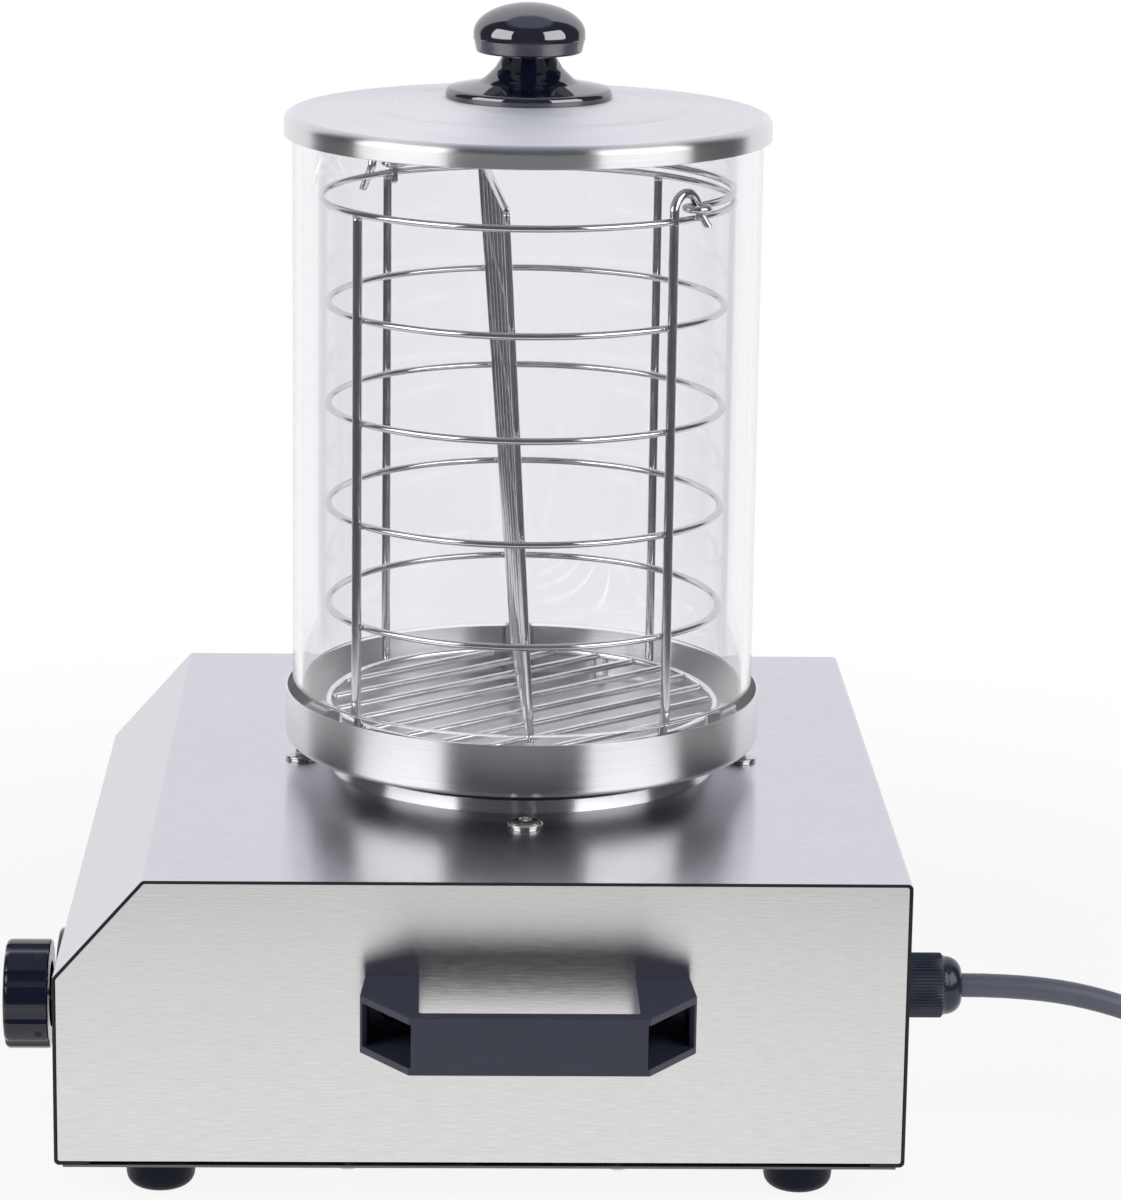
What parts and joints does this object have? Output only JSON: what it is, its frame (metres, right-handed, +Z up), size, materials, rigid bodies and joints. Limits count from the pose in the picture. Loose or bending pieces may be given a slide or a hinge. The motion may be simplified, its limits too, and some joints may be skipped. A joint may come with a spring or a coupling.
{
  "type": "hot dog machine",
  "caption": "Countertop hot dog steamer: a low steel casing with hot plate, knob, carrying handles and mains lead, and a lidded glass cylinder holding a divided wire basket over a water tray.",
  "frame": {"origin": "on the surface that the feet stand on, under the middle of the machine: half way between the carrying handles and half way between the tip of the knob and the tip of the cable gland", "axes": "+Z up, -Y toward the user who faces the knob, +X to that user's right"},
  "size_m": [0.463, 0.6768, 0.4668],
  "materials": {
    "case_steel": "brushed stainless sheet",
    "plain_steel": "plain mill finish",
    "bright_fasteners": "bright stainless",
    "foot_rubber": "matte moulded rubber",
    "handle_plastic": "fine-grained moulded plastic",
    "plate_iron": "black heat-proof coat",
    "trim_steel": "polished stainless",
    "gloss_plastic": "glossy moulded plastic",
    "inner_plastic": "moulded plastic",
    "lamp_plastic": "tinted lens",
    "wire_metal": "bright brass",
    "wire_sleeve": "insulated wire",
    "gland_plastic": "moulded nylon",
    "cord_rubber": "matte rubber sheath",
    "tie_plastic": "soft strap",
    "tray_steel": "circular brushed stainless",
    "clear_glass": "clear heat-proof glass",
    "basket_wire": "polished stainless wire",
    "lid_steel": "circular brushed stainless"
  },
  "bodies": {
    "base": {"wrap_cover": "case_steel", "side_panel_left": "case_steel", "side_panel_right": "case_steel", "bottom_plate": "plain_steel", "plate_bridge": "plain_steel", "thermostat_nut": "plain_steel", "sensor_bulb": "plain_steel", "foot_nuts": "plain_steel", "top_nuts": "plain_steel", "case_screws": "bright_fasteners", "foot_screws": "bright_fasteners", "top_screws": "bright_fasteners", "top_washers": "bright_fasteners", "handle_screws": "bright_fasteners", "plate_stud": "bright_fasteners", "feet": "foot_rubber", "handle_left": "handle_plastic", "handle_right": "handle_plastic", "hot_plate": "plate_iron", "overflow_ring": "trim_steel", "knob_bezel": "gloss_plastic", "thermostat": "inner_plastic", "pilot_body": "inner_plastic", "terminal_block": "inner_plastic", "pilot_lens": "lamp_plastic", "capillary": "wire_metal", "earth_stud": "wire_metal", "plug_pins": "wire_metal", "inner_wires": "wire_sleeve", "gland_body": "gland_plastic", "gland_nut": "gland_plastic", "gland_locknut": "gland_plastic", "gland_seal": "cord_rubber", "cord_inner": "cord_rubber", "power_cord": "cord_rubber", "cord_coil": "cord_rubber", "plug_body": "cord_rubber", "cord_tie": "tie_plastic"},
    "tray": {"water_tray": "tray_steel", "glass_supports": "tray_steel"},
    "glass": {"glass_cylinder": "clear_glass"},
    "basket": {"basket_top_ring": "basket_wire", "basket_floor_ring": "basket_wire", "basket_hoop_1": "basket_wire", "basket_hoop_2": "basket_wire", "basket_hoop_3": "basket_wire", "basket_hoop_4": "basket_wire", "basket_uprights": "basket_wire", "basket_floor_wires": "basket_wire", "basket_feet": "basket_wire", "divider_rails": "basket_wire", "divider_wires": "basket_wire", "bail_hooks": "basket_wire"},
    "bail": {"lifting_bail": "basket_wire"},
    "lid": {"lid": "lid_steel", "lid_knob": "gloss_plastic", "lid_knob_screw": "bright_fasteners"},
    "knob": {"thermostat_knob": "gloss_plastic", "knob_spindle": "bright_fasteners"}
  },
  "joints": [
    {"name": "tray_lift", "type": "slide", "parent": "base", "child": "tray", "axis": [0, 0, 1], "range_m": [0, 0.05]},
    {"name": "glass_lift", "type": "slide", "parent": "tray", "child": "glass", "axis": [0, 0, 1], "range_m": [0, 0.08]},
    {"name": "basket_lift", "type": "slide", "parent": "glass", "child": "basket", "axis": [0, 0, 1], "range_m": [0, 0.28]},
    {"name": "lid_lift", "type": "slide", "parent": "basket", "child": "lid", "axis": [0, 0, 1], "range_m": [0, 0.16]},
    {"name": "bail_swing", "type": "hinge", "parent": "basket", "child": "bail", "pos_m": [0, 0.0172, 0.38885], "axis": [0.694, 0.72, 0], "range_deg": [0, 90]},
    {"name": "knob_turn", "type": "hinge", "parent": "base", "child": "knob", "pos_m": [0.083, -0.1824, 0.05465], "axis": [0, 1, 0], "range_deg": [0, 270]}
  ],
  "couplings": [
    {"joint": "bail_swing", "follows": "lid_lift", "rad_per_m": 9.8}
  ]
}
